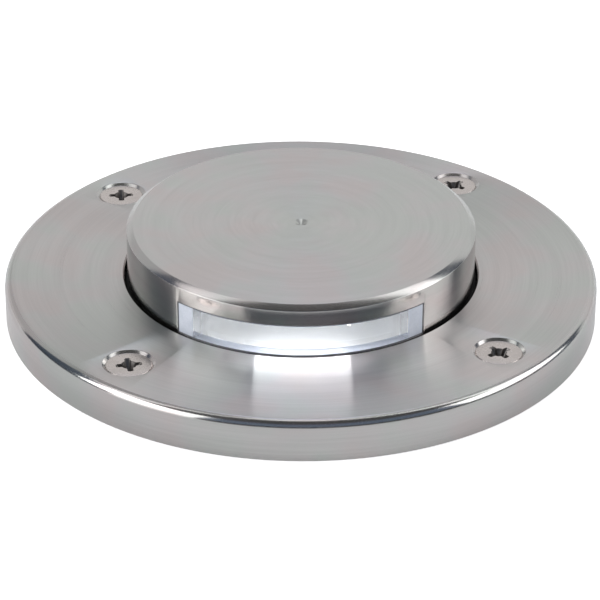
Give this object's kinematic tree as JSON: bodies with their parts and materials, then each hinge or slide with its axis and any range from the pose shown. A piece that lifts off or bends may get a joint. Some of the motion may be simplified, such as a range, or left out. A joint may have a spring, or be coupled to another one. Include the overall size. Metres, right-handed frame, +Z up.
{
  "type": "in ground well light",
  "caption": "Round in-ground light: a raised turned cap with a curved side window stands in a flat countersunk trim ring, over a buried cylindrical well with a cable gland.",
  "frame": {"origin": "on the light's axis at finished ground level, the underside of the trim ring's outer lip", "axes": "+Z up out of the ground; the window faces -Y; the cable leaves the well along -Z"},
  "size_m": [0.15, 0.15, 0.0879],
  "materials": {
    "stainless_turned": "turned stainless steel",
    "stainless_screw": "passivated stainless steel",
    "clear_lens": "clear polycarbonate, satin end faces",
    "clear_optic": "clear moulded optic",
    "silicone_seal": "grey silicone",
    "black_rubber": "matt EPDM",
    "bright_reflector": "vacuum-metallised",
    "well_plastic": "glass-filled polyamide",
    "insert_brass": "machined brass",
    "carrier_aluminium": "turned aluminium",
    "board_white": "white solder mask on aluminium board",
    "pad_grey": "filled silicone pad",
    "led_phosphor": "phosphor under clear silicone",
    "white_plastic": "white moulded plastic",
    "driver_plastic": "black moulded plastic",
    "potting_resin": "cast polyurethane resin",
    "zinc_screw": "zinc-plated steel",
    "lead_red": "silicone insulation",
    "lead_black": "silicone insulation",
    "gland_plastic": "polyamide gland"
  },
  "bodies": {
    "well": {"ring_gasket": "black_rubber", "well_housing": "well_plastic", "threaded_inserts": "insert_brass", "led_carrier": "carrier_aluminium", "carrier_screws": "stainless_screw", "thermal_pad": "pad_grey", "led_board": "board_white", "board_screws": "stainless_screw", "led_emitter": "led_phosphor", "led_optic": "clear_optic", "board_connector": "white_plastic", "deck_reflector": "white_plastic", "lead_grommet": "black_rubber", "driver_case": "driver_plastic", "driver_potting": "potting_resin", "driver_screws": "zinc_screw", "terminal_block": "white_plastic", "clamp_screws": "zinc_screw", "block_screws": "zinc_screw", "supply_lead_line": "lead_red", "supply_lead_return": "lead_black", "led_lead_plus": "lead_red", "led_lead_minus": "lead_black", "gland_body": "gland_plastic", "gland_washer": "black_rubber", "gland_locknut": "gland_plastic", "gland_seal": "black_rubber"},
    "ring": {"trim_ring": "stainless_turned", "cap_retainer": "stainless_turned", "retainer_screws": "stainless_screw"},
    "cap": {"head_cap": "stainless_turned", "window_lens": "clear_lens", "window_seal": "silicone_seal", "cap_oring": "black_rubber", "cap_reflector": "bright_reflector", "reflector_screws": "zinc_screw"},
    "gland_nut": {"gland_nut": "gland_plastic"},
    "screw_back_right": {"ring_screw_back_right": "stainless_screw"},
    "screw_back_left": {"ring_screw_back_left": "stainless_screw"},
    "screw_front_left": {"ring_screw_front_left": "stainless_screw"},
    "screw_front_right": {"ring_screw_front_right": "stainless_screw"}
  },
  "joints": [
    {"name": "ring_lift", "type": "slide", "parent": "well", "child": "ring", "axis": [0, 0, 1], "range_m": [0, 0.04]},
    {"name": "cap_aim", "type": "hinge", "parent": "ring", "child": "cap", "pos_m": [0, 0, 0.0107], "axis": [0, 0, 1], "continuous": true},
    {"name": "gland_nut_turn", "type": "hinge", "parent": "well", "child": "gland_nut", "pos_m": [0, -0.034, -0.05], "axis": [0, 0, 1], "range_deg": [0, 360]},
    {"name": "screw_back_right_out", "type": "slide", "parent": "ring", "child": "screw_back_right", "axis": [0, 0, 1], "range_m": [0, 0.016]},
    {"name": "screw_back_left_out", "type": "slide", "parent": "ring", "child": "screw_back_left", "axis": [0, 0, 1], "range_m": [0, 0.016]},
    {"name": "screw_front_left_out", "type": "slide", "parent": "ring", "child": "screw_front_left", "axis": [0, 0, 1], "range_m": [0, 0.016]},
    {"name": "screw_front_right_out", "type": "slide", "parent": "ring", "child": "screw_front_right", "axis": [0, 0, 1], "range_m": [0, 0.016]}
  ]
}
